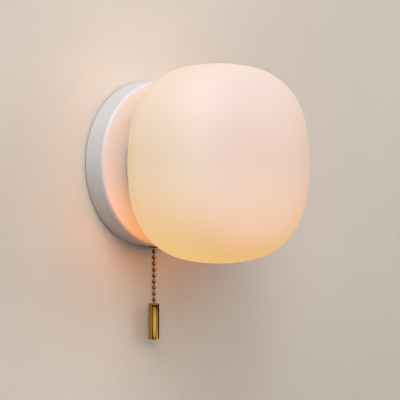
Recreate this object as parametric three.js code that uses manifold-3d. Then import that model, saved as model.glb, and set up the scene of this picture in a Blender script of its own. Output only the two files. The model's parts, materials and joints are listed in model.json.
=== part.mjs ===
// A small wall light with an opal glass shade, a round metal base and a pull-chain switch.
// Millimetres. +Z is up, the wall is the plane y = 0 and the front of the light faces -Y.
// The origin is the centre of the face that lies on the wall.
import * as THREE from "three";
import { mergeVertices } from "three/addons/utils/BufferGeometryUtils.js";
import Module from "manifold-3d";

const wasm = await Module();
wasm.setup();

// Driving dimensions.
const GAP = 0.3; // clearance between pieces that touch
const BASE_RADIUS = 58.5;
const BASE_DEPTH = 17.5;
const BASE_EDGE = 2.2; // rounding of the base's front edge
const SHEET = 1.5; // sheet metal of the base
const RIM_GAP = 0.4; // the base's rim stands this far off the wall
const SHADE_HALF = 66.2; // half width and half height
const SHADE_HALF_DEPTH = 43.4;
const SHADE_Y = -70.7; // the shade's centre
const SHADE_SQUARENESS = 2.5; // superellipse exponent of the front outline
const SHADE_FULLNESS = 2.92; // superellipse exponent from front to back
const GLASS = 2.8;
const NECK_RADIUS = 33.4;
const COLLAR_RADIUS = 37.5;
const GALLERY_BOLT_RADIUS = 31;
const CANOPY_SCREW_X = 23;
const BRACKET_HALF = 46;
const BRACKET_SLOT_X = 36;
const CHAIN_Y = -6.8;
const BEAD_RADIUS = 1.6;
const BEAD_PITCH = 4.3;
const LINK_RADIUS = 0.45;
const NOZZLE_MOUTH_Z = -59.8;
const FIRST_BEAD_Z = -62.4; // first bead below the nozzle
const PULL_TOP_Z = -99.4;
const PULL_LENGTH = 25.4;
const PULL_RADIUS = 3.9;
const CASE = { left: -20.9, right: 8, bottom: -50.8, top: -28, front: -14.5, back: -2.5, wall: 1.5 };
const PIVOT = { x: -12, z: -40 }; // the switch's lever and rotor turn about this line
const LEVER_ARM = 12;
const LEVER_REST = THREE.MathUtils.degToRad(20);

const root = new THREE.Group();

// Materials.
const finishes = {
  white_paint: [0xdedbd8, 0.45, 0.0],
  zinc: [0xb9bcc0, 0.4, 0.9],
  aluminium: [0xc9cacc, 0.35, 0.9],
  opal_glass: [0xf3ddcc, 0.15, 0.0],
  frosted: [0xfff2dd, 0.5, 0.0],
  rubber: [0x2b2a29, 0.9, 0.0],
  foam: [0x4a4846, 0.95, 0.0],
  ceramic: [0xe9e4da, 0.4, 0.0],
  nylon: [0xe6e0d0, 0.5, 0.0],
  bakelite: [0x2f2622, 0.4, 0.0],
  brass: [0xa5762c, 0.35, 0.9],
  bright_brass: [0xc9a14a, 0.3, 0.9],
  steel: [0x8f9194, 0.35, 0.9],
  wire_brown: [0x5a3420, 0.5, 0.0],
  wire_black: [0x26262a, 0.5, 0.0],
  wire_blue: [0x2f5fa8, 0.5, 0.0],
  wire_earth: [0x5f9a3c, 0.5, 0.0],
};

function material(finish) {
  const [color, roughness, metalness] = finishes[finish];
  return new THREE.MeshStandardMaterial({ color, roughness, metalness });
}

function add(name, geometry, finish) {
  const mesh = new THREE.Mesh(geometry, material(finish));
  mesh.name = name;
  root.add(mesh);
  return mesh;
}

// Solids.
function merged(geometry) {
  const bare = geometry.clone();
  bare.deleteAttribute("normal");
  bare.deleteAttribute("uv");
  return mergeVertices(bare, 1e-4);
}

function solid(geometry) {
  const bare = merged(geometry);
  const triVerts = new Uint32Array(bare.index.array);
  const vertProperties = bare.attributes.position.array;
  return new wasm.Manifold(new wasm.Mesh({ numProp: 3, vertProperties, triVerts }));
}

function geometryOf(manifold) {
  const mesh = manifold.getMesh();
  const geometry = new THREE.BufferGeometry();
  geometry.setAttribute("position", new THREE.BufferAttribute(mesh.vertProperties, 3));
  geometry.setIndex(new THREE.BufferAttribute(mesh.triVerts, 1));
  geometry.computeVertexNormals();
  return geometry;
}

function join(...geometries) {
  return geometryOf(geometries.map(solid).reduce((a, b) => a.add(b)));
}

function cut(geometry, ...tools) {
  return geometryOf(tools.map(solid).reduce((a, b) => a.subtract(b), solid(geometry)));
}

// A solid of revolution about Y. Points are [radius, y]; a profile off the axis is closed.
function revolve(points, sides = 24) {
  const closed = points[0][0] > 0 || points.at(-1)[0] > 0;
  const ring = closed ? [...points, points[0]] : points;
  let area = 0;
  for (let i = 0; i < points.length; i++) {
    const [r0, y0] = points[i];
    const [r1, y1] = points[(i + 1) % points.length];
    area += r0 * y1 - r1 * y0;
  }
  const ordered = area > 0 ? ring : ring.reverse();
  return new THREE.LatheGeometry(ordered.map(([r, y]) => new THREE.Vector2(r, y)), sides);
}

// The same about Z: points are [radius, z].
function revolveZ(points, sides = 24, x = 0, y = 0) {
  return revolve(points, sides).rotateX(Math.PI / 2).translate(x, y, 0);
}

function tubeY(inner, outer, y0, y1, sides = 32) {
  return revolve([[inner, y0], [outer, y0], [outer, y1], [inner, y1]], sides);
}

function rodY(radius, y0, y1, x = 0, z = 0, sides = 16) {
  const height = Math.abs(y1 - y0);
  return new THREE.CylinderGeometry(radius, radius, height, sides).translate(x, (y0 + y1) / 2, z);
}

function rodZ(radius, z0, z1, x = 0, y = 0, sides = 12) {
  const height = Math.abs(z1 - z0);
  const rod = new THREE.CylinderGeometry(radius, radius, height, sides).rotateX(Math.PI / 2);
  return rod.translate(x, y, (z0 + z1) / 2);
}

function box(x0, x1, y0, y1, z0, z1) {
  const size = [Math.abs(x1 - x0), Math.abs(y1 - y0), Math.abs(z1 - z0)];
  return new THREE.BoxGeometry(...size).translate((x0 + x1) / 2, (y0 + y1) / 2, (z0 + z1) / 2);
}

// A plate whose outline is drawn in x and z, from yBack towards the front.
function plate(shape, yBack, thickness, curveSegments = 6) {
  const options = { depth: thickness, bevelEnabled: false, curveSegments };
  return new THREE.ExtrudeGeometry(shape, options).rotateX(Math.PI / 2).translate(0, yBack, 0);
}

// A strip whose outline is drawn in x and y, from z0 up to z1.
function strip(points, z0, z1) {
  const shape = new THREE.Shape(points.map(([x, y]) => new THREE.Vector2(x, y)));
  return new THREE.ExtrudeGeometry(shape, { depth: z1 - z0, bevelEnabled: false }).translate(0, 0, z0);
}

function roundedRectangle(x0, x1, z0, z1, r) {
  const shape = new THREE.Shape();
  shape.moveTo(x0 + r, z0).lineTo(x1 - r, z0).absarc(x1 - r, z0 + r, r, -Math.PI / 2, 0);
  shape.lineTo(x1, z1 - r).absarc(x1 - r, z1 - r, r, 0, Math.PI / 2);
  shape.lineTo(x0 + r, z1).absarc(x0 + r, z1 - r, r, Math.PI / 2, Math.PI);
  shape.lineTo(x0, z0 + r).absarc(x0 + r, z0 + r, r, Math.PI, 1.5 * Math.PI);
  return shape;
}

function wire(points, radius, steps, sides = 6) {
  const path = new THREE.CatmullRomCurve3(points.map((p) => new THREE.Vector3(...p)));
  const section = new THREE.Shape();
  section.absarc(0, 0, radius, 0, 2 * Math.PI);
  const options = { steps, extrudePath: path, curveSegments: sides / 2, bevelEnabled: false };
  return new THREE.ExtrudeGeometry(section, options);
}

// A slotted pan-head screw with its tip at y = 0 and its head towards +Y.
function screw(shankRadius, shankLength, headRadius, headHeight, sides = 7) {
  const top = shankLength + headHeight;
  const profile = [
    [0, 0],
    [shankRadius, 0],
    [shankRadius, shankLength],
    [headRadius, shankLength],
    [headRadius, shankLength + 0.6 * headHeight],
    [0.7 * headRadius, top],
    [0, top],
  ];
  const slot = box(-headRadius, headRadius, top - 0.4 * headHeight, top + 1, -0.35, 0.35);
  return cut(revolve(profile, sides), slot);
}

// Places a screw with its head's underside at y, the head towards the wall (+1) or the room (-1).
function addScrew(name, x, y, z, side, [shankRadius, shankLength, headRadius, headHeight], finish) {
  const mesh = add(name, screw(shankRadius, shankLength, headRadius, headHeight), finish);
  mesh.position.set(x, y - side * shankLength, z);
  if (side < 0) mesh.rotation.x = Math.PI;
  return mesh;
}

// The wall bracket: a channel across the middle, with two slots for the wall screws.
function wallBracket() {
  const outline = roundedRectangle(-BRACKET_HALF, BRACKET_HALF, -8, 8, 3);
  for (const side of [-1, 1]) {
    const x = side * BRACKET_SLOT_X;
    outline.holes.push(roundedRectangle(x - 6, x + 6, -2.3, 2.3, 2.29));
    const hole = new THREE.Path();
    hole.absarc(side * CANOPY_SCREW_X, 0, 2.2, 0, 2 * Math.PI, true);
    outline.holes.push(hole);
  }
  const earth = new THREE.Path();
  earth.absarc(-11, 0, 2.2, 0, 2 * Math.PI, true);
  outline.holes.push(earth);
  const length = BRACKET_HALF - 4;
  const flanges = [-1, 1].map((side) => box(-length, length, -5, -1.5, side * 6.6, side * 8));
  return join(plate(outline, 0, 2, 3), ...flanges);
}

// The base: a spun dish, open to the wall, with a rounded front edge.
function baseHousing() {
  const face = -BASE_DEPTH;
  const corner = BASE_RADIUS - BASE_EDGE;
  const profile = [[0, face + SHEET], [0, face]];
  for (let i = 0; i <= 3; i++) {
    const a = (i / 3) * (Math.PI / 2);
    profile.push([corner + BASE_EDGE * Math.sin(a), face + BASE_EDGE * (1 - Math.cos(a))]);
  }
  profile.push([BASE_RADIUS, -RIM_GAP], [BASE_RADIUS - SHEET, -RIM_GAP]);
  profile.push([BASE_RADIUS - SHEET, face + BASE_EDGE], [corner, face + SHEET]);
  const holes = [];
  const pierce = (radius, x, z) => holes.push(rodY(radius, face - 1, face + 3, x, z, 12));
  for (const x of [-CANOPY_SCREW_X, CANOPY_SCREW_X]) pierce(2.3, x, 0);
  for (const x of [-HOLDER_SCREW_X, HOLDER_SCREW_X]) pierce(1.7, x, 0);
  for (const [x, z] of galleryScrewPlaces()) pierce(1.75, x, z);
  pierce(WIRE_HOLE.radius, WIRE_HOLE.x, WIRE_HOLE.z);
  holes.push(rodZ(3.1, -BASE_RADIUS - 1, -BASE_RADIUS + 4, 0, CHAIN_Y, 16));
  const boss = TERMINAL.front - GAP;
  holes.push(rodY(1.75, boss + 1, face + SHEET - 0.3, 0, TERMINAL.screwZ, 10));
  const weldNut = rodY(3, boss, face + SHEET - 0.5, 0, TERMINAL.screwZ, 6);
  return cut(join(revolve(profile, 52), weldNut), ...holes);
}

function galleryScrewPlaces() {
  const d = GALLERY_BOLT_RADIUS * Math.SQRT1_2;
  return [[d, d], [-d, d], [-d, -d], [d, -d]];
}

// The gallery: the threaded collar that takes the glass, screwed to the base from inside.
const GALLERY_BACK = -BASE_DEPTH - GAP;
const GALLERY_SEAT = GALLERY_BACK - 2;
const GALLERY_RIM = -25.2;

function galleryRing() {
  const inside = NECK_RADIUS + 1.2;
  const profile = [
    [27.5, GALLERY_BACK],
    [COLLAR_RADIUS, GALLERY_BACK],
    [COLLAR_RADIUS, GALLERY_RIM + 0.5],
    [COLLAR_RADIUS - 0.5, GALLERY_RIM],
    [inside, GALLERY_RIM],
    [inside, GALLERY_SEAT],
    [27.5, GALLERY_SEAT],
  ];
  const holes = galleryScrewPlaces().map(([x, z]) => rodY(1.7, GALLERY_SEAT - 1, GALLERY_BACK + 1, x, z, 10));
  return cut(revolve(profile, 40), ...holes);
}

// The shade: a hollow rounded cube of opal glass with a threaded neck behind.
function roundedCube(half, halfDepth, across, around) {
  const geometry = new THREE.SphereGeometry(1, across, around);
  const position = geometry.attributes.position;
  const direction = new THREE.Vector3();
  for (let i = 0; i < position.count; i++) {
    direction.fromBufferAttribute(position, i);
    direction.y *= halfDepth / half;
    const m = SHADE_SQUARENESS;
    const p = SHADE_FULLNESS;
    const front = (Math.abs(direction.x) ** m + Math.abs(direction.z) ** m) ** (1 / m);
    const reach = ((front / half) ** p + (Math.abs(direction.y) / halfDepth) ** p) ** (-1 / p);
    direction.multiplyScalar(reach);
    position.setXYZ(i, direction.x, direction.y + SHADE_Y, direction.z);
  }
  return geometry;
}

const NECK_END = GALLERY_SEAT - 2.3;

function glassShade() {
  const r = NECK_RADIUS;
  const neck = revolve([
    [r - 6, NECK_END],
    [r, NECK_END],
    [r, NECK_END - 0.7],
    [r + 0.7, NECK_END - 1.3],
    [r, NECK_END - 1.9],
    [r, -34],
    [r - 6, -34],
  ], 36);
  const outside = solid(roundedCube(SHADE_HALF, SHADE_HALF_DEPTH, 32, 18)).add(solid(neck));
  const inside = solid(roundedCube(SHADE_HALF - GLASS, SHADE_HALF_DEPTH - GLASS, 28, 16));
  const bore = solid(rodY(r - 3, NECK_END + 1, SHADE_Y, 0, 0, 36));
  return geometryOf(outside.subtract(inside).subtract(bore));
}

// The lamp and its holder.
const HOLDER_SCREW_X = 15.8;
const HOLDER_FOOT = -BASE_DEPTH - GAP;
const HOLDER_TOP = HOLDER_FOOT - 6;
const PIN_X = 4.5;
const HOLDER_FRONT = HOLDER_TOP - GAP - 18;

function holderBracket() {
  const t = 1.1;
  const foot = HOLDER_FOOT;
  const top = HOLDER_TOP;
  const outline = [
    [-18.8, foot], [-18.8, foot - t], [-10, foot - t], [-10, top], [10, top], [10, foot - t],
    [18.8, foot - t], [18.8, foot], [10 - t, foot], [10 - t, top + t], [t - 10, top + t], [t - 10, foot],
  ];
  const holes = [
    rodY(1.7, foot + 1, foot - 2, -HOLDER_SCREW_X, 0, 10),
    rodY(1.7, foot + 1, foot - 2, HOLDER_SCREW_X, 0, 10),
    rodY(2, top - 1, top + 2, -PIN_X, 0, 10),
    rodY(2, top - 1, top + 2, PIN_X, 0, 10),
  ];
  return cut(strip(outline, -6, 6), ...holes);
}

function lampholderBody() {
  const back = HOLDER_TOP - GAP;
  const profile = [
    [0, back], [11.5, back], [11.5, back - 4], [10, back - 5], [10, HOLDER_FRONT + 1], [9, HOLDER_FRONT],
    [0, HOLDER_FRONT],
  ];
  const bores = [-PIN_X, PIN_X].flatMap((x) => [
    rodY(1.9, HOLDER_FRONT - 1, HOLDER_FRONT + 12, x, 0, 12),
    rodY(1.4, HOLDER_FRONT + 11.5, back + 1, x, 0, 12),
  ]);
  return cut(revolve(profile, 28), ...bores);
}

function lampBase() {
  const back = HOLDER_FRONT - 0.8;
  const profile = [[0, back], [7, back], [8, back - 1], [8, back - 12], [7, back - 13.5], [0, back - 13.5]];
  const pins = [-PIN_X, PIN_X].map((x) => rodY(0.6, back - 1, back + 6.5, x, 0, 8));
  return join(revolve(profile, 24), ...pins);
}

function lampEnvelope() {
  const back = HOLDER_FRONT - 14.6;
  const radius = 9;
  const straight = 20;
  const profile = [[0, back], [7.5, back], [radius, back - 2.5]];
  for (let i = 0; i <= 5; i++) {
    const a = (i / 5) * (Math.PI / 2);
    profile.push([radius * Math.cos(a), back - straight - radius * Math.sin(a)]);
  }
  profile[profile.length - 1][0] = 0;
  return revolve(profile, 24);
}

// The pull switch.
function switchCase() {
  const { left, right, bottom, top, front, back, wall } = CASE;
  const shell = cut(
    plate(roundedRectangle(left, right, bottom, top, 1.5), back, back - front, 3),
    box(left + wall, right - wall, front + wall, back + 1, bottom + wall, top - wall),
    rodZ(3.1, bottom - 1, bottom + wall + 1, 0, CHAIN_Y, 12),
    ...LEAVES.map((x) => box(x - 1.1, x + 1.1, -12.9, -8.3, top - wall - 1, top + 1)),
  );
  const bosses = COVER_SCREWS.map(([x, z]) => rodY(1.9, front + wall - 0.5, back - GAP, x, z, 10));
  const holes = COVER_SCREWS.map(([x, z]) => rodY(1.2, front + 3, back + 1, x, z, 8));
  return cut(join(shell, ...bosses), ...holes);
}

function switchCover() {
  const { left, right, bottom, top } = CASE;
  const lid = plate(roundedRectangle(left, right, bottom, top, 1.5), -1.2, 1, 3);
  return cut(lid, ...COVER_SCREWS.map(([x, z]) => rodY(1.3, -3, 0, x, z, 10)));
}

const COVER_SCREWS = [[4.4, -46.2], [-9.5, -47.7]];
const LEAVES = [-18.6, -5.1];

// The switch's threaded nozzle, which also guides the chain out of the base.
function switchNozzle() {
  const profile = [
    [2.0, -48.1], [4.4, -48.1], [4.4, -49.0], [2.7, -49.0], [2.7, NOZZLE_MOUTH_Z], [2.3, NOZZLE_MOUTH_Z],
    [2.0, NOZZLE_MOUTH_Z + 0.8],
  ];
  return revolveZ(profile, 16, 0, CHAIN_Y);
}

function pullLever() {
  const arm = new THREE.Shape();
  arm.moveTo(-6.4, -1.1).lineTo(0, -1.9).lineTo(LEVER_ARM + 2.4, -0.7);
  arm.lineTo(LEVER_ARM + 2.4, 0.7).lineTo(0, 1.9).lineTo(-6.4, 1.1);
  const slotWidth = 1.9;
  const body = join(
    plate(arm, 1.5, 3),
    rodY(3, -1.5, 1.5, 0, 0, 16),
    box(-1.2, 1.2, -4.6, -1.4, 5.8, 7.4),
    box(-1.2, 1.2, -1.5, 1.5, 1.5, 7.4),
  );
  return cut(
    body,
    rodY(1.5, -3, 3, 0, 0, 12),
    box(LEVER_ARM - 1.6, LEVER_ARM + 4, -slotWidth / 2, slotWidth / 2, -3, 3),
  );
}

const ROTOR_RADIUS = 5;

// A ratchet wheel with eight teeth.
function ratchetRotor() {
  const teeth = 8;
  const shape = new THREE.Shape();
  for (let i = 0; i < teeth; i++) {
    const a = (2 * Math.PI * i) / teeth;
    const b = (2 * Math.PI * (i + 0.85)) / teeth;
    if (i === 0) shape.moveTo(ROTOR_RADIUS, 0);
    else shape.lineTo(ROTOR_RADIUS * Math.cos(a), ROTOR_RADIUS * Math.sin(a));
    shape.lineTo(0.76 * ROTOR_RADIUS * Math.cos(b), 0.76 * ROTOR_RADIUS * Math.sin(b));
  }
  return cut(plate(shape, 1.2, 2.4), rodY(1.5, -3, 3, 0, 0, 12));
}

function helix(radius, pitch, turns, wireRadius) {
  const points = [];
  const stepsPerTurn = 8;
  for (let i = 0; i <= turns * stepsPerTurn; i++) {
    const a = (2 * Math.PI * i) / stepsPerTurn;
    points.push([radius * Math.cos(a), radius * Math.sin(a), (pitch * i) / stepsPerTurn]);
  }
  return wire(points, wireRadius, turns * stepsPerTurn, 6);
}

// Beads on a line of wire, from the highest bead down.
function beads(top, count, wireAbove, wireBelow) {
  const bottom = top - (count - 1) * BEAD_PITCH;
  const pieces = [rodZ(LINK_RADIUS, top + wireAbove, bottom - wireBelow, 0, 0, 6)];
  for (let i = 0; i < count; i++) {
    const bead = new THREE.SphereGeometry(BEAD_RADIUS, 8, 6).rotateX(Math.PI / 2);
    pieces.push(bead.translate(0, 0, top - i * BEAD_PITCH));
  }
  return join(...pieces).translate(0, CHAIN_Y, 0);
}

const STOP_BALL_Z = -32.6;
const STOP_BALL_RADIUS = 2;

function chainInner() {
  const gap = 0.25;
  const end = FIRST_BEAD_Z + BEAD_RADIUS + gap;
  const lowest = FIRST_BEAD_Z + BEAD_PITCH;
  const count = 4;
  const top = lowest + (count - 1) * BEAD_PITCH;
  const stop = new THREE.SphereGeometry(STOP_BALL_RADIUS, 10, 7).translate(0, CHAIN_Y, STOP_BALL_Z);
  const link = rodZ(LINK_RADIUS, top, STOP_BALL_Z, 0, CHAIN_Y, 6);
  return join(beads(top, count, 0, lowest - end), stop, link);
}

const CHAIN_BEADS = 8;
const HELD_BEAD_Z = PULL_TOP_Z - 4;

// The part of the chain that swings: it ends in a bead held inside the pull.
function ballChain() {
  const first = FIRST_BEAD_Z - BEAD_PITCH;
  const last = first - (CHAIN_BEADS - 1) * BEAD_PITCH;
  const held = new THREE.SphereGeometry(BEAD_RADIUS, 8, 6).translate(0, CHAIN_Y, HELD_BEAD_Z);
  return join(beads(first, CHAIN_BEADS, BEAD_PITCH - BEAD_RADIUS - 0.25, last - HELD_BEAD_Z), held);
}

function pullWeight() {
  const r = PULL_RADIUS;
  const top = PULL_TOP_Z;
  const bottom = PULL_TOP_Z - PULL_LENGTH;
  const well = top - 7.5;
  const profile = [
    [0, well], [2.5, well], [2.5, top], [r - 0.3, top], [r, top - 0.3], [r, bottom + 0.3], [r - 0.3, bottom],
    [0, bottom],
  ];
  return revolveZ(profile, 24, 0, CHAIN_Y);
}

function pullCollar() {
  const top = PULL_TOP_Z - 0.2;
  return revolveZ([[0.9, top], [2.2, top], [2.2, top - 1.4], [0.9, top - 1.4]], 16, 0, CHAIN_Y);
}

// The terminal block and the wires.
const TERMINAL = { half: 16, back: -3, front: -14, bottom: 28, top: 43, screwZ: 47.5 };
const POLES = [-10.5, 0, 10.5];
const WIRE_HOLE = { radius: 4.8, x: 0, z: 11.5 };

function terminalBlock() {
  const { half, back, front, bottom, top } = TERMINAL;
  const body = join(
    plate(roundedRectangle(-half, half, bottom, top, 1.2), back, back - front, 2),
    box(-5, 5, front + 3, front, top - 1, 51),
  );
  const wells = POLES.flatMap((x) => [32, 39].map((z) => rodY(2.3, back + 1, back - 3.5, x, z, 10)));
  const entries = POLES.map((x) => rodZ(1.5, bottom - 1, bottom + 3.2, x, -9, 10));
  return cut(body, ...wells, ...entries, rodY(1.75, front + 4, front - 1, 0, TERMINAL.screwZ, 10));
}

// The supports on the wall.
add("wall_bracket", wallBracket(), "zinc");
add("base_housing", baseHousing(), "white_paint");
add("wall_gasket", tubeY(55, 56.6, 0, -2.2, 32), "foam");
for (const [name, side] of [["left", -1], ["right", 1]]) {
  const x = side * CANOPY_SCREW_X;
  addScrew("canopy_screw_" + name, x, -BASE_DEPTH - GAP, 0, -1, [1.9, 17, 3.5, 2], "zinc");
}
addScrew("earth_screw", -11, -2 - GAP - 1.0, 0, -1, [1.8, 2.8, 3.2, 1.8], "bright_brass");

// The gallery and the shade.
add("gallery_ring", galleryRing(), "aluminium");
galleryScrewPlaces().forEach(([x, z], i) => {
  addScrew("gallery_screw_" + (i + 1), x, -BASE_DEPTH + SHEET + GAP, z, 1, [1.35, 3.4, 2.7, 1.8], "zinc");
});
add("neck_seal", tubeY(NECK_RADIUS - 3, NECK_RADIUS + 0.2, GALLERY_SEAT - GAP, NECK_END + GAP, 32), "rubber");
add("glass_shade", glassShade(), "opal_glass");

// The lamp.
add("holder_bracket", holderBracket(), "zinc");
for (const [name, side] of [["left", -1], ["right", 1]]) {
  const y = HOLDER_FOOT - 1.1 - GAP;
  addScrew("holder_screw_" + name, side * HOLDER_SCREW_X, y, 0, -1, [1.35, 5, 2.6, 1.6], "zinc");
  const contact = tubeY(0.95, 1.55, HOLDER_FRONT + 1, HOLDER_FRONT + 10, 10);
  add("holder_contact_" + name, contact.translate(side * PIN_X, 0, 0), "bright_brass");
}
add("lampholder_body", lampholderBody(), "ceramic");
add("lamp_base", lampBase(), "ceramic");
add("lamp_envelope", lampEnvelope(), "frosted");

// The switch.
add("switch_case", switchCase(), "bakelite");
add("switch_cover", switchCover(), "bakelite");
COVER_SCREWS.forEach(([x, z], i) => {
  addScrew("cover_screw_" + (i + 1), x, -0.95, z, 1, [0.9, 7, 1.8, 0.7], "zinc");
});
add("switch_nozzle", switchNozzle(), "brass");
add("nozzle_locknut", revolveZ([[3.4, -55.8], [4.4, -55.8], [4.4, -53.6], [3.4, -53.6]], 6, 0, CHAIN_Y), "zinc");
add("nozzle_nut", revolveZ([
  [3.0, -58.8], [3.7, -58.8], [3.7, -59.4], [3.4, -59.7], [3.0, -59.7],
], 20, 0, CHAIN_Y), "brass");
add("lever_pin", rodY(1.2, CASE.front + CASE.wall + GAP, -2.6, PIVOT.x, PIVOT.z, 12), "steel");

const lever = add("pull_lever", pullLever(), "steel");
lever.position.set(PIVOT.x, CHAIN_Y, PIVOT.z);
lever.rotation.y = -LEVER_REST;

const rotor = add("ratchet_rotor", ratchetRotor(), "nylon");
rotor.position.set(PIVOT.x, -9.8, PIVOT.z);
const rotorContact = cut(rodY(4.2, -0.5, 0.5, 0, 0, 20), rodY(1.5, -2, 2, 0, 0, 12), box(-6, 6, -2, 2, 1.8, 6));
add("rotor_contact", rotorContact, "bright_brass").position.set(PIVOT.x, -11.9, PIVOT.z);

LEAVES.forEach((x, i) => {
  const inward = Math.sign(PIVOT.x - x);
  const leaf = [
    [x - 0.25, 0], [x + 0.25, 0], [x + 0.25, 11], [x + 0.25 + 0.7 * inward, 15.5],
    [x - 0.25 + 0.7 * inward, 15.5], [x - 0.25, 11],
  ].map(([a, b]) => [a, -25.5 - b]);
  const shape = new THREE.Shape(leaf.map(([a, b]) => new THREE.Vector2(a, b)));
  add("contact_leaf_" + ["left", "right"][i], plate(shape, -8.9, 3.4), "bright_brass");
});
const spring = add("return_spring", helix(1.25, 1.1, 4, 0.28), "steel");
spring.position.set(-17.2, CHAIN_Y, -48.6);

// The chain and its pull.
add("chain_inner", chainInner(), "brass");
const leadBead = new THREE.SphereGeometry(BEAD_RADIUS, 12, 9).rotateX(Math.PI / 2);
add("chain_lead_bead", leadBead.translate(0, CHAIN_Y, FIRST_BEAD_Z), "brass");
add("ball_chain", ballChain(), "brass");
add("pull_weight", pullWeight(), "brass");
add("pull_collar", pullCollar(), "brass");

// The wiring.
add("terminal_block", terminalBlock(), "nylon");
POLES.forEach((x, pole) => {
  [32, 39].forEach((z, row) => {
    const name = "terminal_screw_" + (2 * pole + row + 1);
    addScrew(name, x, TERMINAL.back - 2.6, z, 1, [0.5, 0.6, 1.9, 1.4], "bright_brass");
  });
});
addScrew("terminal_mount_screw", 0, TERMINAL.front + 3 + GAP, TERMINAL.screwZ, 1, [1.35, 5, 2.7, 1.8], "zinc");
const grommet = revolve([
  [3.6, -19.2], [6, -19.2], [6, -17.8], [4.5, -17.8], [4.5, -15.7], [6, -15.7], [6, -14.3], [3.6, -14.3],
], 20);
add("wire_grommet", grommet.translate(WIRE_HOLE.x, 0, WIRE_HOLE.z), "rubber");

// Wires run from the terminal block or the switch through the grommet to the lampholder.
const blockEntry = (x) => [[x, -9, TERMINAL.bottom + 2.5], [x, -9, TERMINAL.bottom - 2]];
const toHolder = (x) => [
  [0.42 * x, -13, WIRE_HOLE.z + 0.5], [0.42 * x, -19, WIRE_HOLE.z - 0.5], [0.6 * x, -20.8, 7.4],
  [x, -21.5, 2], [x, -23.5, 0], [x, -28.5, 0],
];
add("wire_neutral", wire([...blockEntry(POLES[2]), [6, -10.5, 18], ...toHolder(PIN_X)], 0.9, 20), "wire_blue");
add("wire_switched", wire([
  [LEAVES[1] + 1.6, -10.6, -25.9], [LEAVES[1] + 1.6, -10.6, -21], [-6, -9.5, -12], [-8, -8.6, 0], [-5, -10.5, 8],
  ...toHolder(-PIN_X),
], 0.9, 24), "wire_black");
add("wire_live", wire([
  ...blockEntry(POLES[0]), [-15, -8.4, 18], [-16.5, -8, 8], [-17, -8, -6], [-17.4, -9.6, -18],
  [LEAVES[0] + 1.6, -10.6, -22], [LEAVES[0] + 1.6, -10.6, -25.9],
], 0.9, 22), "wire_brown");
add("wire_earth", wire([
  ...blockEntry(POLES[1]), [0, -8.5, 20], [-4, -6.6, 8], [-7.2, -6.4, 2.6],
], 0.9, 14), "wire_earth");

export default root;
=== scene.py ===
"""A white wall light with a glowing opal glass shade and a ball-chain pull switch, around its CAD frame."""
import json
import math

import bmesh
import bpy
from mathutils import Matrix, Vector


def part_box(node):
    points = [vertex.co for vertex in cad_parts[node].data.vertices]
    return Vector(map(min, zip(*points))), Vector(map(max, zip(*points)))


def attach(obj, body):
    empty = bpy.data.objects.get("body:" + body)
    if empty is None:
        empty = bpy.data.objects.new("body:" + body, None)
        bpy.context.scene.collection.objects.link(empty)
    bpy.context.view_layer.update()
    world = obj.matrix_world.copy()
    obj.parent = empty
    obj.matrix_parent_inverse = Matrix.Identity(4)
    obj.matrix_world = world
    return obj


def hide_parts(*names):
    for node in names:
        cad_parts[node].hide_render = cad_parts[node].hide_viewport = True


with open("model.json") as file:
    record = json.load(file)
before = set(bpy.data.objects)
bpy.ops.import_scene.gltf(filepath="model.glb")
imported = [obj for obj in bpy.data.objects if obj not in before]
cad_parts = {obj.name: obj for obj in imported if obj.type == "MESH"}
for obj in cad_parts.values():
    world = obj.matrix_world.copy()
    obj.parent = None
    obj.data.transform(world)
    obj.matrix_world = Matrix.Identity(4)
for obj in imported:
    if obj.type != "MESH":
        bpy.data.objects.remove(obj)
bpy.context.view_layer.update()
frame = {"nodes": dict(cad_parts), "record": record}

MM = 0.001  # Blender works in metres, the sizes below are in millimetres


# ---------------------------------------------------------------- mesh helpers
def add_object(name, mesh, smooth_degrees=35):
    """Links a mesh as an object, shaded smooth except across edges sharper than the angle."""
    piece = bpy.data.objects.new(name, mesh)
    bpy.context.scene.collection.objects.link(piece)
    for polygon in mesh.polygons:
        polygon.use_smooth = True
    sharp = math.radians(smooth_degrees)
    shape = bmesh.new()
    shape.from_mesh(mesh)
    for edge in shape.edges:
        edge.smooth = len(edge.link_faces) == 2 and edge.calc_face_angle(0) < sharp
    shape.to_mesh(mesh)
    shape.free()
    return piece


def skin(name, rings, smooth_degrees=35, closed=False):
    """A surface through rings of points. A ring of one point is a pole.

    closed joins the last ring to the first.
    """
    shape = bmesh.new()
    made = [[shape.verts.new(point) for point in ring] for ring in rings]
    pairs = list(zip(made, made[1:]))
    if closed:
        pairs.append((made[-1], made[0]))
    for a, b in pairs:
        count = max(len(a), len(b))
        for i in range(count):
            j = (i + 1) % count
            corners = [a[i % len(a)], a[j % len(a)], b[j % len(b)], b[i % len(b)]]
            distinct = list(dict.fromkeys(corners))
            shape.faces.new(distinct)
    bmesh.ops.recalc_face_normals(shape, faces=shape.faces)
    mesh = bpy.data.meshes.new(name)
    shape.to_mesh(mesh)
    shape.free()
    return add_object(name, mesh, smooth_degrees)


def lathe(name, profile, axis="Y", centre=(0, 0, 0), sides=96, smooth_degrees=35):
    """A solid of revolution. The profile holds (radius, distance along the axis) in millimetres."""
    centre = Vector(centre) * MM
    rings = []
    for radius, along in profile:
        count = 1 if radius == 0 else sides
        ring = []
        for i in range(count):
            angle = 2 * math.pi * i / sides
            across = (radius * math.cos(angle), radius * math.sin(angle))
            if axis == "Y":
                point = Vector((across[0], along, across[1]))
            else:
                point = Vector((across[0], across[1], along))
            ring.append(centre + point * MM)
        rings.append(ring)
    closed = profile[0][0] > 0 and profile[-1][0] > 0
    return skin(name, rings, smooth_degrees, closed)


def arc(centre, radius, start, end, steps):
    """Points of an arc in a profile, with angles in degrees from the radius direction."""
    points = []
    for i in range(steps + 1):
        angle = math.radians(start + (end - start) * i / steps)
        points.append((centre[0] + radius * math.cos(angle), centre[1] + radius * math.sin(angle)))
    return points


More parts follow.
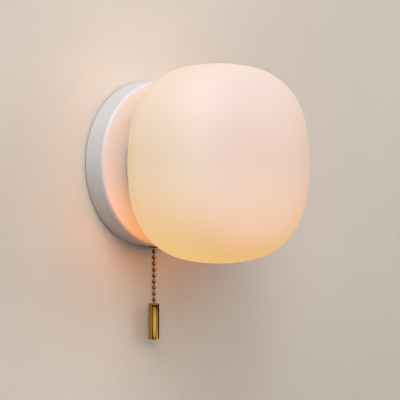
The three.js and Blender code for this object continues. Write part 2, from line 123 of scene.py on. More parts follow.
def box_solid(name, low, high):
    """A block between two corners, in millimetres, to cut with."""
    shape = bmesh.new()
    bmesh.ops.create_cube(shape, size=1)
    size = Vector(high) - Vector(low)
    middle = (Vector(high) + Vector(low)) / 2
    for vertex in shape.verts:
        vertex.co = (Vector([vertex.co[i] * size[i] for i in range(3)]) + middle) * MM
    mesh = bpy.data.meshes.new(name)
    shape.to_mesh(mesh)
    shape.free()
    return add_object(name, mesh)


def combine(piece, others, operation="DIFFERENCE"):
    """Cuts the others from a piece, or joins them to it, and removes them."""
    for other in others:
        modifier = piece.modifiers.new("combine", "BOOLEAN")
        modifier.operation = operation
        modifier.object = other
        modifier.solver = "EXACT"
    graph = bpy.context.evaluated_depsgraph_get()
    result = bpy.data.meshes.new_from_object(piece.evaluated_get(graph))
    old = piece.data
    name = piece.name
    bpy.data.objects.remove(piece)
    bpy.data.meshes.remove(old)
    for other in others:
        bpy.data.objects.remove(other)
    result.name = name
    return add_object(name, result)


def place(piece, body, slot, *nodes):
    """Gives a piece the material of a slot, rides it on a body and hides the CAD nodes that it stands for."""
    piece.data.materials.clear()
    piece.data.materials.append(materials[slot])
    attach(piece, body)
    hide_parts(*nodes)
    return piece


# ---------------------------------------------------------------- sizes in millimetres
BASE_RADIUS = 58.5
BASE_DEPTH = 17.5
BASE_EDGE = 2.2
SHEET = 1.5  # the thickness of the base's sheet metal
RIM_GAP = 0.4  # from the wall to the base's rim
CANOPY_SCREW_X = 23
HOLDER_SCREW_X = 15.8
GALLERY_SCREW_CIRCLE = 31  # the radius of the circle that its screws lie on
EARTH_SCREW_Z = 47.5
SMALL_HOLE = 1.75  # a radius, as are the next two holes
WIRE_HOLE = 4.8
OUTLET_HOLE = 3.1
WIRE_HOLE_Z = 11.5
SHADE_HALF = 66.2
SHADE_HALF_DEPTH = 43.4
SHADE_Y = -70.7
SHADE_SQUARENESS = 2.5  # the outline seen from the front: 2 is a circle
SHADE_FULLNESS = 2.92  # the outline seen from the side: 2 is an ellipse
GLASS = 2.8
NECK_RADIUS = 33.4
NECK_END = -22.1
THREAD_PITCH = 4.0
THREAD_HEIGHT = 0.65
COLLAR_RADIUS = 37.5
COLLAR_BORE = 27.5
COLLAR_FRONT = -25.2
CHAIN_Y = -6.8
BEAD_RADIUS = 1.6
BEAD_PITCH = 4.3
FREE_BEADS = 9
LINK_RADIUS = 0.42
BEAD_HOLE = 0.62  # the radius of the hole that the link goes in by
NOZZLE_MOUTH_Z = -59.8
NOZZLE_RADIUS = 2.7
CHAIN_TOP_Z = -60.2  # where the chain leaves the nozzle, on its swivel line
FIRST_BEAD_Z = -62.4
PULL_TOP_Z = -99.4
PULL_LENGTH = 25.4
PULL_RADIUS = 3.9
PULL_BORE = 2.5
PULL_BORE_DEPTH = 7.5
HELD_BEAD_Z = PULL_TOP_Z - 4


# ---------------------------------------------------------------- camera
CAMERA_AT = (-0.5500, -0.5609, 0.0)
CAMERA_FORWARD = (0.7333, 0.6791, -0.033)
CAMERA_RIGHT = (0.6795, -0.7337, 0.0)
CAMERA_LENS = 99


def make_camera():
    """A long lens from the front left, level with the middle of the base."""
    data = bpy.data.cameras.new("camera")
    data.sensor_width = 36
    data.lens = CAMERA_LENS
    data.clip_start = 0.02
    camera = bpy.data.objects.new("camera", data)
    bpy.context.scene.collection.objects.link(camera)
    forward = Vector(CAMERA_FORWARD).normalized()
    right = Vector(CAMERA_RIGHT)
    right = (right - right.dot(forward) * forward).normalized()
    up = right.cross(forward)
    turn = Matrix((right, up, -forward)).transposed().to_4x4()
    camera.matrix_world = Matrix.Translation(CAMERA_AT) @ turn
    bpy.context.scene.camera = camera


make_camera()


# ---------------------------------------------------------------- materials
class Nodes:
    """A small helper for building a material's node tree."""

    def __init__(self, name):
        self.material = bpy.data.materials.new(name)
        self.material.use_nodes = True
        self.tree = self.material.node_tree
        self.shader = self.tree.nodes["Principled BSDF"]
        self.output = self.tree.nodes["Material Output"]
        coordinates = self.tree.nodes.new("ShaderNodeTexCoord")
        self.place = coordinates.outputs["Object"]

    def add(self, kind, **settings):
        node = self.tree.nodes.new("ShaderNode" + kind)
        for key, value in settings.items():
            setattr(node, key, value)
        return node

    def link(self, source, target):
        self.tree.links.new(source, target)

    def set(self, **values):
        """Constants on the shader's own sockets."""
        for key, value in values.items():
            self.shader.inputs[key.replace("_", " ")].default_value = value

    def noise(self, scale, detail=3.0, roughness=0.5, stretch=(1, 1, 1)):
        """Noise over the piece. The scale is its features to the metre."""
        mapping = self.add("Mapping")
        mapping.inputs["Scale"].default_value = stretch
        self.link(self.place, mapping.inputs["Vector"])
        node = self.add("TexNoise")
        node.inputs["Scale"].default_value = scale
        node.inputs["Detail"].default_value = detail
        node.inputs["Roughness"].default_value = roughness
        self.link(mapping.outputs["Vector"], node.inputs["Vector"])
        return node.outputs["Fac"]

    def ramp(self, factor, stops):
        """A colour for each factor, from (position, colour) stops."""
        node = self.add("ValToRGB")
        elements = node.color_ramp.elements
        while len(elements) < len(stops):
            elements.new(0.5)
        for element, (position, colour) in zip(elements, stops):
            element.position = position
            element.color = (*colour, 1)
        self.link(factor, node.inputs["Fac"])
        return node.outputs["Color"]

    def blend(self, kind, factor, a, b):
        """Two colours mixed, added or multiplied. A colour is a socket or three numbers."""
        node = self.add("Mix", data_type="RGBA", blend_type=kind)
        factor_socket, a_socket, b_socket = (node.inputs[i] for i in (0, 6, 7))
        for socket, value in ((factor_socket, factor), (a_socket, a), (b_socket, b)):
            if isinstance(value, tuple):
                socket.default_value = (*value, 1)
            elif isinstance(value, float):
                socket.default_value = value
            else:
                self.link(value, socket)
        return node.outputs[2]

    def remap(self, value, low, high, to_low, to_high):
        """The value moved from one range to another, and held to it."""
        node = self.add("MapRange")
        for key, number in (("From Min", low), ("From Max", high), ("To Min", to_low), ("To Max", to_high)):
            node.inputs[key].default_value = number
        self.link(value, node.inputs["Value"])
        return node.outputs["Result"]

    def maths(self, operation, a, b):
        """One operation on two sockets or numbers."""
        node = self.add("Math", operation=operation)
        for socket, value in zip(node.inputs, (a, b)):
            if isinstance(value, (int, float)):
                socket.default_value = value
            else:
                self.link(value, socket)
        return node.outputs["Value"]

    def bump(self, height, distance, edge_radius=0.0):
        """Relief of so many metres, over edges that look rounded by edge_radius."""
        node = self.add("Bump")
        node.inputs["Strength"].default_value = 1.0
        node.inputs["Distance"].default_value = distance
        self.link(height, node.inputs["Height"])
        if edge_radius:
            bevel = self.add("Bevel", samples=4)
            bevel.inputs["Radius"].default_value = edge_radius
            self.link(bevel.outputs["Normal"], node.inputs["Normal"])
        self.link(node.outputs["Normal"], self.shader.inputs["Normal"])


def plain(name, colour, roughness, metallic=0.0, variation=0.12, grain=900.0, depth=2e-5, coat=0.0):
    """A material with mottled colour and roughness, a fine grain and softly rounded edges.

    variation is how far the colour strays, grain its features to the metre and depth its relief in metres.
    """
    nodes = Nodes(name)
    mottle = nodes.noise(60.0, 4.0)
    darker = tuple(c * (1 - variation) for c in colour)
    lighter = tuple(min(1.0, c * (1 + variation)) for c in colour)
    nodes.link(nodes.ramp(mottle, [(0.3, darker), (0.7, lighter)]), nodes.shader.inputs["Base Color"])
    spread = nodes.remap(nodes.noise(240.0, 3.0), 0.3, 0.7, 0.85 * roughness, min(1.0, 1.15 * roughness))
    nodes.link(spread, nodes.shader.inputs["Roughness"])
    nodes.set(Metallic=metallic)
    if coat:
        nodes.set(Coat_Weight=coat, Coat_Roughness=0.15)
    nodes.bump(nodes.noise(grain, 2.0), depth, edge_radius=0.25 * MM)
    return nodes.material


def white_paint():
    """Satin powder coat: a faint orange peel over soft, larger waves."""
    nodes = Nodes("white_paint")
    tone = nodes.ramp(nodes.noise(35.0, 4.0), [(0.3, (0.62, 0.635, 0.67)), (0.7, (0.65, 0.665, 0.70))])
    nodes.link(tone, nodes.shader.inputs["Base Color"])
    nodes.link(nodes.remap(nodes.noise(300.0, 3.0), 0.3, 0.7, 0.34, 0.46), nodes.shader.inputs["Roughness"])
    peel = nodes.noise(1100.0, 2.0)
    waves = nodes.maths("MULTIPLY", nodes.noise(120.0, 2.0), 2.0)
    nodes.set(Coat_Weight=0.15, Coat_Roughness=0.25)
    nodes.bump(nodes.maths("ADD", peel, waves), 2.5e-5)
    return nodes.material


# The lamp's light in the glass. The ramps run from the shade's foot, at 0, to its top, at 1.
BODY_GLOW = (0.517, 0.351, 0.084)
FOOT_GLOW = [(0.00, (0.261, 0.086, 0.0)), (0.50, (0.0, 0.0, 0.0)), (1.00, (0.0, 0.0, 0.0))]
BACK_GLOW = [(0.00, (7.0, 1.3, 0.03)), (0.50, (3.0, 0.66, 0.14)), (1.00, (1.7, 0.52, 0.2))]
# Painted shade: the glow on the shade's front face is made dimmer and pinker.
FRONT_SHADE_TINT = (0.97, 0.87, 0.93)
FRONT_Y = (-0.111, -0.090)  # metres, where the painted shade on the front's glow is full and where it ends
WALL_FACING = (0.66, 0.97)  # the normal's Y, where the back glow starts and where it is full
OUTER_RING = (0.044, 0.058)  # metres from the middle line, where the back glow starts and is full
INNER_GLOW = 0.06  # what is left of the back glow inside that ring, next to the neck


def opal_glass():
    """Satin opal glass, lit from inside by a warm lamp: more orange low down and behind.

    The glow goes by the place in the room, so it stays low and at the back when the shade turns.
    """
    nodes = Nodes("opal_glass")
    milk_stops = [(0.3, (0.352, 0.355, 0.525)), (0.7, (0.365, 0.368, 0.545))]
    milk = nodes.ramp(nodes.noise(14.0, 3.0, 0.4), milk_stops)
    nodes.link(milk, nodes.shader.inputs["Base Color"])
    nodes.set(Roughness=0.62, IOR=1.45, Coat_Weight=0.12, Coat_Roughness=0.3, Coat_IOR=1.45)
    geometry = nodes.add("NewGeometry")
    place, facing = (nodes.add("SeparateXYZ") for _ in range(2))
    nodes.link(geometry.outputs["Position"], place.inputs["Vector"])
    nodes.link(geometry.outputs["Normal"], facing.inputs["Vector"])
    height = nodes.remap(place.outputs["Z"], -SHADE_HALF * MM, SHADE_HALF * MM, 0.0, 1.0)
    cloud = nodes.remap(nodes.noise(11.0, 2.0, 0.4), 0.3, 0.7, -0.02, 0.02)
    level = nodes.maths("ADD", height, cloud)
    front = nodes.remap(place.outputs["Y"], *FRONT_Y, 1.0, 0.0)
    squares = (nodes.maths("MULTIPLY", place.outputs[axis], place.outputs[axis]) for axis in "XZ")
    from_middle = nodes.maths("POWER", nodes.maths("ADD", *squares), 0.5)
    outer = nodes.remap(from_middle, *OUTER_RING, INNER_GLOW, 1.0)
    to_wall = nodes.remap(facing.outputs["Y"], *WALL_FACING, 0.0, 1.0)
    back = nodes.maths("MULTIPLY", to_wall, outer)
    glow = nodes.blend("ADD", 1.0, nodes.ramp(level, FOOT_GLOW), BODY_GLOW)
    # Painted shade: the front face's glow is dimmed and turned pinker.
    glow = nodes.blend("MULTIPLY", front, glow, FRONT_SHADE_TINT)
    glow = nodes.blend("ADD", back, glow, nodes.ramp(level, BACK_GLOW))
    nodes.link(glow, nodes.shader.inputs["Emission Color"])
    nodes.set(Emission_Strength=1.0)
    nodes.bump(nodes.noise(26.0, 2.0), 1.2e-4)
    return nodes.material


def brass(name, light, dark, roughness, streak=(1, 1, 1), lines=0.0):
    """Aged brass: dull, dark tarnish in patches, which streak stretches, and fine turned lines.

    lines is the relief of those lines in metres. Without it the metal has a fine, even grain.
    """
    nodes = Nodes(name)
    tarnish = nodes.noise(220.0, 5.0, 0.6, streak)
    nodes.link(nodes.ramp(tarnish, [(0.32, dark), (0.66, light)]), nodes.shader.inputs["Base Color"])
    worn = nodes.remap(tarnish, 0.3, 0.7, 1.25 * roughness, 0.8 * roughness)
    nodes.link(worn, nodes.shader.inputs["Roughness"])
    nodes.set(Metallic=1.0)
    fine = nodes.noise(1500.0, 2.0, 0.5, (0.15, 0.15, 3.0) if lines else (1, 1, 1))
    nodes.bump(fine, lines or 6e-6)
    return nodes.material


def lamp_glass():
    """The lamp's frosted envelope, alight."""
    nodes = Nodes("frosted_glass")
    frost = nodes.ramp(nodes.noise(300.0, 2.0), [(0.3, (0.93, 0.87, 0.78)), (0.7, (0.98, 0.93, 0.86))])
    nodes.link(frost, nodes.shader.inputs["Base Color"])
    nodes.set(Roughness=0.55, Emission_Color=(1.0, 0.72, 0.42, 1), Emission_Strength=3.0)
    nodes.bump(nodes.noise(1800.0, 2.0), 1e-5)
    return nodes.material


materials = {
    "white_paint": white_paint(),
    "opal_glass": opal_glass(),
    "zinc": plain("zinc", (0.58, 0.59, 0.62), 0.34, 0.9, 0.1, 700.0, 1e-5),
    "steel": plain("steel", (0.42, 0.43, 0.45), 0.32, 1.0, 0.12, 900.0, 8e-6),
    "aluminium": plain("aluminium", (0.80, 0.80, 0.81), 0.45, 0.6, 0.05, 1200.0, 6e-6),
    "aged_brass": brass("aged_brass", (0.58, 0.34, 0.07), (0.45, 0.22, 0.035), 0.13, (1, 1, 0.12), 2e-6),
    "chain_brass": brass("chain_brass", (0.42, 0.22, 0.05), (0.26, 0.11, 0.025), 0.16),
    "contact_brass": brass("contact_brass", (0.80, 0.58, 0.25), (0.62, 0.41, 0.15), 0.3),
    "rubber": plain("rubber", (0.03, 0.03, 0.032), 0.75, 0.0, 0.25, 1500.0, 3e-5),
    "foam": plain("foam", (0.075, 0.07, 0.066), 0.95, 0.0, 0.35, 1300.0, 1.5e-4),
    "ceramic": plain("ceramic", (0.80, 0.77, 0.71), 0.3, 0.0, 0.04, 800.0, 1.5e-5, 0.4),
    "frosted_glass": lamp_glass(),
    "nylon": plain("nylon", (0.72, 0.68, 0.60), 0.48, 0.0, 0.06, 900.0, 2.5e-5),
    "bakelite": plain("bakelite", (0.028, 0.021, 0.017), 0.3, 0.0, 0.3, 700.0, 1.5e-5, 0.3),
    "wire_blue": plain("wire_blue", (0.03, 0.12, 0.42), 0.42, 0.0, 0.15, 600.0, 2e-5),
    "wire_black": plain("wire_black", (0.02, 0.02, 0.022), 0.42, 0.0, 0.25, 600.0, 2e-5),
    "wire_brown": plain("wire_brown", (0.13, 0.05, 0.025), 0.42, 0.0, 0.2, 600.0, 2e-5),
    "wire_green": plain("wire_green", (0.12, 0.34, 0.05), 0.42, 0.0, 0.2, 600.0, 2e-5),
}


# ---------------------------------------------------------------- chain and pull
def chain_profile():
    """Bead after bead on a thin link, from the nozzle's mouth down to the bead held in the pull."""
    beads = [FIRST_BEAD_Z - BEAD_PITCH * i for i in range(FREE_BEADS)] + [HELD_BEAD_Z]
    lip = math.degrees(math.acos(BEAD_HOLE / BEAD_RADIUS))
    into_hole = BEAD_RADIUS * math.sin(math.radians(lip)) - 0.12
    profile = [(0, CHAIN_TOP_Z), (LINK_RADIUS, CHAIN_TOP_Z - 0.1)]
    for z in beads:
        profile.append((LINK_RADIUS, z + into_hole))
        profile.extend(arc((0, z), BEAD_RADIUS, lip, -lip, 14))
        profile.append((LINK_RADIUS, z - into_hole))
    profile.append((0, beads[-1] - 0.9 * BEAD_RADIUS))
    return profile


def make_pull():
    """The cylinder, bored for the held bead, with a groove near its top and a dimple below."""
    top = PULL_TOP_Z
    bottom = top - PULL_LENGTH
    r = PULL_RADIUS
    profile = [(0, top - PULL_BORE_DEPTH), (PULL_BORE, top - PULL_BORE_DEPTH), (PULL_BORE, top - 0.35)]
    profile += arc((r - 0.45, top - 0.45), 0.45, 90, 0, 5)
    profile += [(r, top - 2.2), (r - 0.12, top - 2.3), (r - 0.12, top - 2.5), (r, top - 2.6)]
    profile += arc((r - 0.5, bottom + 0.5), 0.5, 0, -90, 5)
    profile += [(0.8, bottom), (0.5, bottom + 0.3), (0, bottom + 0.3)]
    return lathe("pull_cylinder", profile, "Z", (0, CHAIN_Y, 0), 72)


def make_pull_collar():
    """The bush in the mouth of the pull's bore, which holds the last bead in."""
    top = PULL_TOP_Z - 0.15
    foot = top - 1.5
    profile = [(0.95, foot), (0.95, top - 0.3), (1.3, top), (2.0, top), (2.3, top - 0.3), (2.3, foot)]
    return lathe("pull_bush", profile, "Z", (0, CHAIN_Y, 0), 48)


hanging = lathe("bead_chain", chain_profile(), "Z", (0, CHAIN_Y, 0), 28, 50)
place(hanging, "chain", "chain_brass", "ball_chain", "chain_lead_bead")
pull = place(make_pull(), "pull", "aged_brass", "pull_weight")
bush = place(make_pull_collar(), "pull", "aged_brass", "pull_collar")


# ---------------------------------------------------------------- shade
def square_factor(angle):
    """How much further out a round ring is pushed at this angle to make the rounded square."""
    m = SHADE_SQUARENESS
    return (abs(math.cos(angle)) ** m + abs(math.sin(angle)) ** m) ** (1 / m)


def shade_rings(half, half_depth, neck, sides, steps):
    """Rings of the rounded cube, from the front's middle round to the circle where the neck starts."""
    p = SHADE_FULLNESS
    rings = [[Vector((0, SHADE_Y - half_depth, 0)) * MM]]
    for step in range(1, steps + 1):
        ring = []
        for i in range(sides):
            angle = 2 * math.pi * i / sides
            factor = square_factor(angle)
            last = math.pi - math.asin((neck * factor / half) ** (p / 2))
            u = last * step / steps
            radius = half / factor * math.sin(u) ** (2 / p)
            forward = math.copysign(abs(math.cos(u)) ** (2 / p), math.cos(u))
            y = SHADE_Y - half_depth * forward
            ring.append(Vector((radius * math.cos(angle), y, radius * math.sin(angle))) * MM)
        rings.append(ring)
    return rings


def neck_rings(radius, back_ring, sides, thread_height):
    """The neck from the shade's back to its end, with a helical thread outside."""
    rings = []
    steps = 14
    for step in range(1, steps + 1):
        ring = []
        for i in range(sides):
            angle = 2 * math.pi * i / sides
            start = back_ring[i].y / MM
            y = start + (NECK_END - start) * step / steps
            turn = ((y - NECK_END) / THREAD_PITCH - angle / (2 * math.pi)) % 1.0
            height = thread_height * max(0.0, math.cos(2 * math.pi * (turn - 0.5))) ** 2
            fade = min(1.0, (NECK_END - y) / 1.0, (y - start) / 2.0)
            r = radius + height * max(0.0, fade)
            ring.append(Vector((r * math.cos(angle), y, r * math.sin(angle))) * MM)
        rings.append(ring)
    return rings


def make_shade():
    """The blown glass, outside and inside, open at the end of its neck."""
    sides = 160
    outside = shade_rings(SHADE_HALF, SHADE_HALF_DEPTH, NECK_RADIUS + 0.1, sides, 56)
    outside += neck_rings(NECK_RADIUS, outside[-1], sides, THREAD_HEIGHT)
    inside = shade_rings(SHADE_HALF - GLASS, SHADE_HALF_DEPTH - GLASS, NECK_RADIUS - 3, sides, 40)
    inside.append([Vector((v.x, NECK_END * MM, v.z)) for v in inside[-1]])
    return skin("opal_shade", outside + inside[::-1], 50)


place(make_shade(), "shade", "opal_glass", "glass_shade")


# ---------------------------------------------------------------- base and gallery
def hole(radius, y0, y1, x, z):
    """A round cutter along Y."""
    return lathe("hole", [(0, y0), (radius, y0), (radius, y1), (0, y1)], "Y", (x, 0, z), 32)


def make_base():
    """The pressed dish with its screw holes, the wires' hole, the nozzle's hole and the earth's weld nut."""
    face = -BASE_DEPTH
    rim = -RIM_GAP
    corner = BASE_RADIUS - BASE_EDGE
    inner = BASE_RADIUS - SHEET
    profile = [(0, face)]
    profile += [(radius, face) for radius in (20, 45, corner)]
    profile += arc((corner, face + BASE_EDGE), BASE_EDGE, -90, 0, 10)[1:]
    profile += [(BASE_RADIUS, rim - 0.4), (BASE_RADIUS - 0.35, rim), (inner + 0.35, rim), (inner, rim - 0.4)]
    profile += arc((corner, face + BASE_EDGE), BASE_EDGE - SHEET, 0, -90, 6)
    profile += [(45, face + SHEET), (20, face + SHEET), (0, face + SHEET)]
    base = lathe("base_dish", profile, "Y", (0, 0, 0), 192)
    d = GALLERY_SCREW_CIRCLE / math.sqrt(2)
    through = [(2.3, x, 0) for x in (-CANOPY_SCREW_X, CANOPY_SCREW_X)]
    through += [(1.7, x, 0) for x in (-HOLDER_SCREW_X, HOLDER_SCREW_X)]
    through += [(SMALL_HOLE, x, z) for x, z in ((d, d), (-d, d), (-d, -d), (d, -d))]
    through.append((WIRE_HOLE, 0, WIRE_HOLE_Z))
    holes = [hole(radius, face - 1, face + 3, x, z) for radius, x, z in through]
    nut_profile = [(0, -14.3), (3, -14.3), (3, face + 1), (0, face + 1)]
    nut = lathe("weld_nut", nut_profile, "Y", (0, 0, EARTH_SCREW_Z), 6)
    base = combine(base, [nut], "UNION")
    holes.append(hole(SMALL_HOLE, face + SHEET - 0.3, -13, 0, EARTH_SCREW_Z))
    outlet = [(0, -62), (OUTLET_HOLE, -62), (OUTLET_HOLE, -55), (0, -55)]
    holes.append(lathe("hole", outlet, "Z", (0, CHAIN_Y, 0), 32))
    return combine(base, holes)


place(make_base(), "fixture", "white_paint", "base_housing")


def make_gallery():
    """The collar that the neck screws into, with three fine grooves round it."""
    back = -BASE_DEPTH - 0.3
    seat = back - 2
    rim = COLLAR_FRONT
    inside = NECK_RADIUS + 1.2
    profile = [(COLLAR_BORE, back), (COLLAR_RADIUS - 0.4, back), (COLLAR_RADIUS, back - 0.4)]
    for i in range(3):
        y = back - 1.6 - 1.5 * i
        profile += [(COLLAR_RADIUS, y + 0.3), (COLLAR_RADIUS - 0.25, y), (COLLAR_RADIUS, y - 0.3)]
    profile += arc((COLLAR_RADIUS - 0.6, rim + 0.6), 0.6, 0, -90, 4)
    profile += [(inside + 0.3, rim), (inside, rim + 0.3), (inside, seat), (COLLAR_BORE, seat)]
    return lathe("gallery_collar", profile, "Y", (0, 0, 0), 160)


place(make_gallery(), "fixture", "aluminium", "gallery_ring")


def make_nozzle():
    """The flanged tube that the chain runs through, ribbed as by its thread."""
    mouth = NOZZLE_MOUTH_Z
    crest = NOZZLE_RADIUS
    groove = crest - 0.2
    profile = [(2.0, -48.1), (4.4, -48.1), (4.4, -49.0), (crest, -49.0)]
    z = -50.0
    while z > mouth + 0.9:
        profile += [(crest, z), (groove, z - 0.35), (crest, z - 0.7)]
        z -= 0.8
    profile += [(crest, mouth + 0.2), (groove, mouth), (2.3, mouth), (2.0, mouth + 0.6)]
    return lathe("chain_nozzle", profile, "Z", (0, CHAIN_Y, 0), 48)


place(make_nozzle(), "fixture", "chain_brass", "switch_nozzle")


def make_nozzle_nut():
    """A round nut with a knurled edge."""
    ridges = 36
    sides = 4 * ridges
    rings = []
    bore, back, front = 3.0, -58.8, -59.7
    knurled = [(3.7, -58.95, 0.1), (3.7, -59.4, 0.1)]
    for radius, z, depth in [(bore, back, 0), (3.5, back, 0), *knurled, (3.4, front, 0), (bore, front, 0)]:
        ring = []
        for i in range(sides):
            angle = 2 * math.pi * i / sides
            r = radius - depth * (i % 4 in (2, 3))
            ring.append(Vector((r * math.cos(angle), CHAIN_Y + r * math.sin(angle), z)) * MM)
        rings.append(ring)
    return skin("knurled_nut", rings, 30, closed=True)


place(make_nozzle_nut(), "fixture", "chain_brass", "nozzle_nut")


# ---------------------------------------------------------------- screws
SLOT_HALF = 0.33  # half the width of a screwdriver slot
# Each screw's shank radius and head height.
SHANKS = {
    "canopy_screw_left": (1.9, 2.0),
    "canopy_screw_right": (1.9, 2.0),
    "earth_screw": (1.8, 1.8),
    "gallery_screw": (1.35, 1.8),
    "holder_screw_left": (1.35, 1.6),
    "holder_screw_right": (1.35, 1.6),
    "cover_screw": (0.9, 0.7),
    "terminal_screw": (0.5, 1.4),
    "terminal_mount_screw": (1.35, 1.8),
}


def make_screw(node, slot, to_wall=True, cross=False):
    """A screw with a domed, slotted or cross-recessed head, in the space of its CAD node.

    to_wall says that its head is at the end nearer the wall.
    """
    low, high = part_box(node)
    low, high = low / MM, high / MM
    x, z = (low.x + high.x) / 2, (low.z + high.z) / 2
    side = 1 if to_wall else -1
    top = high.y if to_wall else low.y
    tip = low.y if to_wall else high.y
    head = 0.98 * (high.z - low.z) / 2
    shank, height = SHANKS[node.rstrip("0123456789_")]
    rise = side * height
    under = top - rise
    thread = []
    steps = int(abs(under - tip) / 0.5)
    for i in range(steps):
        y = under + (tip - under) * (i + 0.2) / steps
        thread.append((shank * (0.9 if i % 2 else 1.0), y))
    profile = [(0, top), (0.55 * head, top - 0.02 * rise), (0.85 * head, top - 0.18 * rise)]
    profile += [(head, top - 0.5 * rise), (head, under + 0.1 * rise), (0.94 * head, under)]
    profile += [(shank, under), *thread, (0.6 * shank, tip), (0, tip)]
    screw = lathe(node + "_fine", profile, "Y", (x, 0, z), 32)
    deep = top - 0.45 * rise
    above = top + side
    y0, y1 = min(deep, above), max(deep, above)
    half = 0.62 * head if cross else 1.1 * head
    cutters = [box_solid("slot", (x - half, y0, z - SLOT_HALF), (x + half, y1, z + SLOT_HALF))]
    if cross:
        cutters.append(box_solid("slot", (x - SLOT_HALF, y0, z - half), (x + SLOT_HALF, y1, z + half)))
    place(combine(screw, cutters), "fixture", slot, node)


for side_name in ("left", "right"):
    make_screw("canopy_screw_" + side_name, "zinc", to_wall=False, cross=True)
    make_screw("holder_screw_" + side_name, "zinc", to_wall=False, cross=True)
make_screw("earth_screw", "contact_brass", to_wall=False)
for number in range(1, 5):
    make_screw(f"gallery_screw_{number}", "zinc", cross=True)
for number in range(1, 3):
    make_screw(f"cover_screw_{number}", "zinc", cross=True)
for number in range(1, 7):
    make_screw(f"terminal_screw_{number}", "contact_brass")
make_screw("terminal_mount_screw", "zinc", cross=True)


# ---------------------------------------------------------------- CAD nodes that stay
slots = {entry["node"]: entry["material_slot"] for entry in frame["record"]["subparts"]}
for node_name, piece in frame["nodes"].items():
    piece.data.materials.clear()
    piece.data.materials.append(materials[slots[node_name]])


# ---------------------------------------------------------------- stage and light, in metres
WALL_Y = 0.0006  # just behind the foam gasket
FLOOR_Z = -0.8
STAGE_HALF = 3.0  # how far the wall and the floor reach
WALL_HOLE = 0.056  # the radius of the wall box behind the base


def wall_material():
    """Fine matte plaster, clear from behind, so that the back of the fitting can be looked at."""
    nodes = Nodes("wall_plaster")
    tone_stops = [(0.3, (0.693, 0.623, 0.562)), (0.7, (0.733, 0.663, 0.602))]
    tone = nodes.ramp(nodes.noise(5.0, 5.0, 0.6), tone_stops)
    nodes.link(tone, nodes.shader.inputs["Base Color"])
    nodes.set(Roughness=0.9)
    grain = nodes.noise(420.0, 5.0, 0.65)
    trowel = nodes.maths("MULTIPLY", nodes.noise(45.0, 4.0), 3.0)
    nodes.bump(nodes.maths("ADD", grain, trowel), 1.4e-4)
    geometry = nodes.add("NewGeometry")
    clear = nodes.add("BsdfTransparent")
    mix = nodes.add("MixShader")
    nodes.link(geometry.outputs["Backfacing"], mix.inputs["Fac"])
    nodes.link(nodes.shader.outputs["BSDF"], mix.inputs[1])
    nodes.link(clear.outputs["BSDF"], mix.inputs[2])
    nodes.link(mix.outputs["Shader"], nodes.output.inputs["Surface"])
    return nodes.material


def floor_material():
    """A pale floor that is partly its own light, so that it is pale far from the lights too."""
    nodes = Nodes("floor_pale")
    tone = nodes.ramp(nodes.noise(3.0, 4.0), [(0.3, (0.39, 0.381, 0.37)), (0.7, (0.42, 0.411, 0.40))])
    nodes.link(tone, nodes.shader.inputs["Base Color"])
    nodes.set(Roughness=0.8, Emission_Color=(0.80, 0.785, 0.765, 1), Emission_Strength=0.5)
    return nodes.material


def stage_mesh(name, corners, faces, material):
    """A flat mesh that is looked at but is not part of the object."""
    mesh = bpy.data.meshes.new(name)
    mesh.from_pydata(corners, [], faces)
    plane = bpy.data.objects.new(name, mesh)
    mesh.materials.append(material)
    bpy.context.scene.collection.objects.link(plane)
    return plane


def stage_wall():
    """The wall, with the round hole of the wall box, which the base covers."""
    count = 64
    corners, faces = [], []
    for i in range(count):
        angle = 2 * math.pi * i / count
        x, z = math.cos(angle), math.sin(angle)
        reach = STAGE_HALF / max(abs(x), abs(z))
        corners.append((WALL_HOLE * x, WALL_Y, WALL_HOLE * z))
        corners.append((reach * x, WALL_Y, max(FLOOR_Z, reach * z)))
        a, b = 2 * i, (2 * i + 2) % (2 * count)
        faces.append((a, a + 1, b + 1, b))
    stage_mesh("stage_wall", corners, faces, wall_material())


stage_wall()
floor_signs = ((-1, -1), (1, -1), (1, 1), (-1, 1))
floor_corners = [(STAGE_HALF * x, STAGE_HALF * y, FLOOR_Z) for x, y in floor_signs]
floor = stage_mesh("stage_floor", floor_corners, [(0, 1, 2, 3)], floor_material())
# The fitting hangs high on its wall, where little comes up from the floor.
floor.visible_diffuse = False
floor.visible_glossy = False


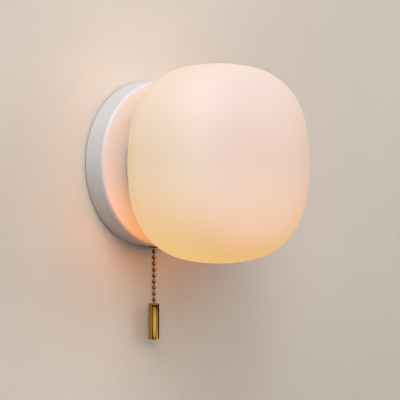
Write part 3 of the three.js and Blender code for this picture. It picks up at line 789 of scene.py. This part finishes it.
def area_light(name, position, target, size, power, colour):
    """A soft rectangular light of so many watts, turned to its target."""
    data = bpy.data.lights.new(name, "AREA")
    data.shape = "RECTANGLE"
    data.size, data.size_y = size
    data.energy = power
    data.color = colour
    light = bpy.data.objects.new(name, data)
    light.location = position
    direction = Vector(target) - Vector(position)
    light.rotation_euler = direction.to_track_quat("-Z", "Y").to_euler()
    bpy.context.scene.collection.objects.link(light)
    return light


MIDDLE = (0, 0, 0)
PULL_SIDE = (0, 0, -0.1)  # the height of the pull
area_light("window_low", (-1.15, -1.75, 0.85), (0, 0, 0.2), (1.6, 1.5), 23.0, (1.0, 0.95, 0.89))
# Three low, wide lights, which the brass reflects as stripes. The card is for reflections alone.
area_light("strip_low", (-1.09, -1.62, -0.56), PULL_SIDE, (2.5, 0.36), 3.7, (1.0, 0.96, 0.90))
area_light("strip_right", (0.85, -1.7, -0.56), PULL_SIDE, (1.5, 0.36), 1.1, (1.0, 0.92, 0.84))
card = area_light("low_card", (0.88, -0.88, -0.70), PULL_SIDE, (1.2, 0.4), 2.2, (1.0, 0.94, 0.86))
card.visible_diffuse = False
area_light("back_light", (0.9, 1.5, 0.7), MIDDLE, (1.6, 1.4), 30.0, (1.0, 1.0, 1.0))
area_light("window_high", (-1.1, -1.0, 1.9), MIDDLE, (1.4, 1.2), 29.0, (1.0, 1.0, 1.0))
area_light("fill_front", (0.2, -2.0, 1.5), MIDDLE, (1.4, 1.2), 11.0, (1.0, 1.0, 1.0))
area_light("fill_right", (1.8, -1.6, 0.8), MIDDLE, (1.4, 1.4), 16.0, (1.0, 0.98, 0.95))

# The pale surround is only looked at: the lights above do the lighting.
world = bpy.data.worlds.new("studio")
world.use_nodes = True
background = world.node_tree.nodes["Background"]
background.inputs["Color"].default_value = (0.80, 0.79, 0.77, 1)
background.inputs["Strength"].default_value = 0.75
bpy.context.scene.world = world
world.cycles_visibility.diffuse = False
world.cycles_visibility.glossy = False
bpy.context.scene.view_settings.view_transform = "Standard"
